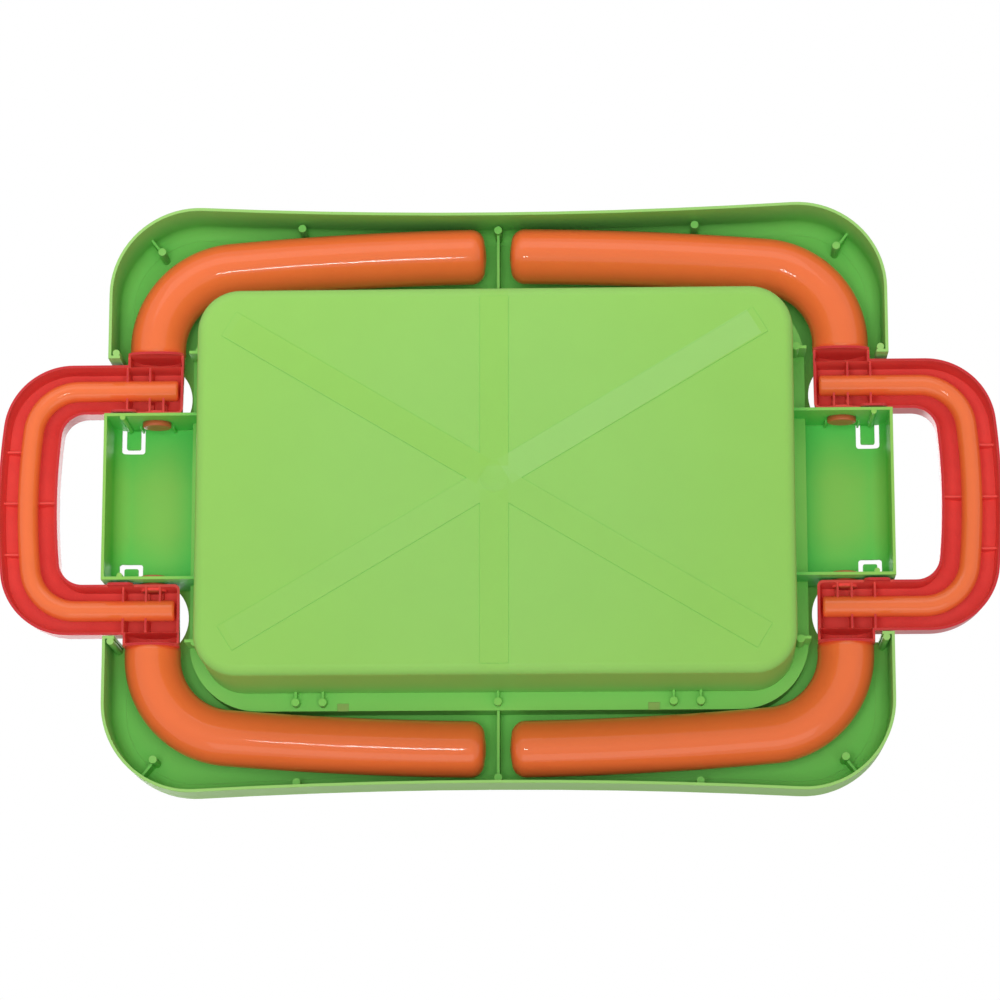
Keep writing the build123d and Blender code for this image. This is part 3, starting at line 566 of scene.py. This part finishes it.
def make_pin(name, mirror, pivot, low_y, high_y):
    """A pin at +X +Y, mirrored to its corner: stub in the arm, rounded head inside the box."""
    turn = np.linspace(0, np.pi / 2, ROUND_STEPS + 1)
    face = np.linspace(1, 0, FACE_STEPS + 1)[1:]
    journal_r = HEAD_R - JOURNAL_STEP
    shoulder_y = low_y + SHOULDER_IN
    journal_y = shoulder_y + JOURNAL_L
    head_y = shoulder_y - HEAD_L
    stub_and_journal = [high_y, high_y, journal_y, journal_y, shoulder_y, shoulder_y]
    rounding = head_y + HEAD_ROUND * (1 - np.sin(turn))
    spots = np.concatenate([stub_and_journal, rounding, np.full(len(face), head_y)])
    rounding_r = HEAD_R - HEAD_ROUND * (1 - np.cos(turn))
    radii = np.concatenate([[0.0, STUB_R, STUB_R, journal_r, journal_r, HEAD_R],
                            rounding_r, (HEAD_R - HEAD_ROUND) * face])
    centres = np.stack([np.full(len(spots), pivot[0]), spots], 1)
    return round_skin(name, centres, np.full(len(spots), -np.pi / 2), radii, pivot[2], mirror)


pin_low, pin_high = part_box("pivot_pin_right_rear")
for side, end, mirror in CORNERS:
    node = "pivot_pin_%s_%s" % (side, end)
    pin = make_pin("dressed_" + node, mirror, joint_place["swing_right"], pin_low[1], pin_high[1])
    pin.data.materials.append(brown)
    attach(pin, "swing_frame_" + side)
    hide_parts(node)

# ---------------------------------------------------------------------------
# The studio: a pale floor at the level where the feet stand when the legs are down, and
# clear from below, with soft boxes round the view and a row of narrow lamps beside it.
# ---------------------------------------------------------------------------
FLOOR_Z = -0.2235
FLOOR_REACH = 6.0
FLOOR_WHITE = (0.82, 0.82, 0.82, 1.0)
SKY_WHITE = (1.0, 1.0, 1.0, 1.0)
SKY_LIGHT = 0.22
SKY_SEEN = 1.0
# Each narrow lamp's place along X and its length.
LAMP_ROW = ((-0.600, 0.054), (-0.492, 0.036), (-0.423, 0.042), (-0.370, 0.014),
            (-0.294, 0.080), (-0.198, 0.050))
LAMP_WIDTH = 0.24
WATTS_PER_METRE = 34.0

corners = ((-1, -1), (1, -1), (1, 1), (-1, 1))
floor_mesh = bpy.data.meshes.new("floor")
floor_mesh.from_pydata([(x * FLOOR_REACH, y * FLOOR_REACH, FLOOR_Z) for x, y in corners],
                       [], [(0, 1, 2, 3)])
floor = bpy.data.objects.new("floor", floor_mesh)
bpy.context.scene.collection.objects.link(floor)
pale = bpy.data.materials.new("pale_floor")
pale.use_nodes = True
pale.node_tree.nodes.clear()
tree = pale.node_tree
path = add(tree, "ShaderNodeLightPath").outputs
from_below = add(tree, "ShaderNodeNewGeometry").outputs["Backfacing"]
mirrored = maths(tree, "MAXIMUM", path["Is Glossy Ray"], path["Is Transmission Ray"])
unseen = maths(tree, "MAXIMUM", path["Is Shadow Ray"], from_below)
unseen = maths(tree, "MAXIMUM", unseen, mirrored)
matt = add(tree, "ShaderNodeBsdfDiffuse", {"Color": FLOOR_WHITE})
clear = add(tree, "ShaderNodeBsdfTransparent")
mixed = add(tree, "ShaderNodeMixShader", {0: unseen, 1: matt.outputs[0], 2: clear.outputs[0]})
add(tree, "ShaderNodeOutputMaterial", {"Surface": mixed.outputs[0]})
floor_mesh.materials.append(pale)

world = bpy.data.worlds.new("studio")
bpy.context.scene.world = world
world.use_nodes = True
tree = world.node_tree
tree.nodes.clear()
path = add(tree, "ShaderNodeLightPath").outputs
mirrored = maths(tree, "MAXIMUM", path["Is Glossy Ray"], path["Is Transmission Ray"])
shown = maths(tree, "MAXIMUM", path["Is Camera Ray"], mirrored)
strength = ramp(tree, shown, 0.0, 1.0, SKY_LIGHT, SKY_SEEN)
sky = add(tree, "ShaderNodeBackground", {"Color": SKY_WHITE, "Strength": strength})
add(tree, "ShaderNodeOutputWorld", {"Surface": sky.outputs[0]})


def soft_box(name, size_x, size_y, watts, place, aim=(0.0, 0.0, 0.08)):
    """An area lamp of size_x by size_y metres at place, its face square to the line to aim."""
    data = bpy.data.lights.new(name, "AREA")
    data.shape = "RECTANGLE"
    data.size = size_x
    data.size_y = size_y
    data.energy = watts
    lamp = bpy.data.objects.new(name, data)
    lamp.location = place
    lamp.rotation_mode = "QUATERNION"
    lamp.rotation_quaternion = (Vector(aim) - Vector(place)).to_track_quat("-Z", "Y")
    lamp.visible_camera = False
    bpy.context.scene.collection.objects.link(lamp)
    return lamp


soft_box("front_box", 3.2, 1.4, 15.0, (-0.3, -1.9, -2.1))
soft_box("face_box", 2.4, 2.0, 79.0, (0.14, 0.75, -4.2)).visible_glossy = False
soft_box("rear_box", 3.0, 1.2, 13.0, (0.3, 2.1, -2.0))
soft_box("sky_box", 2.6, 2.6, 60.0, (-0.6, -0.8, 2.6))
for number, (row_x, row_length) in enumerate(LAMP_ROW):
    soft_box("row_%d" % number, row_length, LAMP_WIDTH, WATTS_PER_METRE * row_length,
             (row_x, 0.74, -3.35))

# ---------------------------------------------------------------------------
# The view: a long lens looks straight up at the underside of the folded table, from a
# little beyond its rear long side.
# ---------------------------------------------------------------------------
VIEW_TILT = math.radians(11.5)
VIEW_TURN = math.radians(2.1315)
VIEW_DISTANCE = 3.6491
SENSOR_WIDTH = 36.0
VIEW_SHIFT = (0.00313, -0.00693)
camera_data = bpy.data.cameras.new("camera")
camera_data.sensor_width = SENSOR_WIDTH
camera_data.lens = SENSOR_WIDTH * VIEW_DISTANCE
camera_data.shift_x, camera_data.shift_y = VIEW_SHIFT
camera_data.clip_end = 20.0
camera = bpy.data.objects.new("camera", camera_data)
bpy.context.scene.collection.objects.link(camera)
look_up = Matrix.Rotation(math.pi, 4, "X")
lean = Matrix.Rotation(VIEW_TURN, 4, "Y") @ Matrix.Rotation(VIEW_TILT, 4, "X")
skirt_edge = Vector((0.0, 0.0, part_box("skirt_rear")[0][2]))
back_off = Matrix.Translation((0, 0, VIEW_DISTANCE))
camera.matrix_world = Matrix.Translation(skirt_edge) @ look_up @ lean @ back_off
bpy.context.scene.camera = camera
bpy.context.scene.view_settings.view_transform = "Standard"
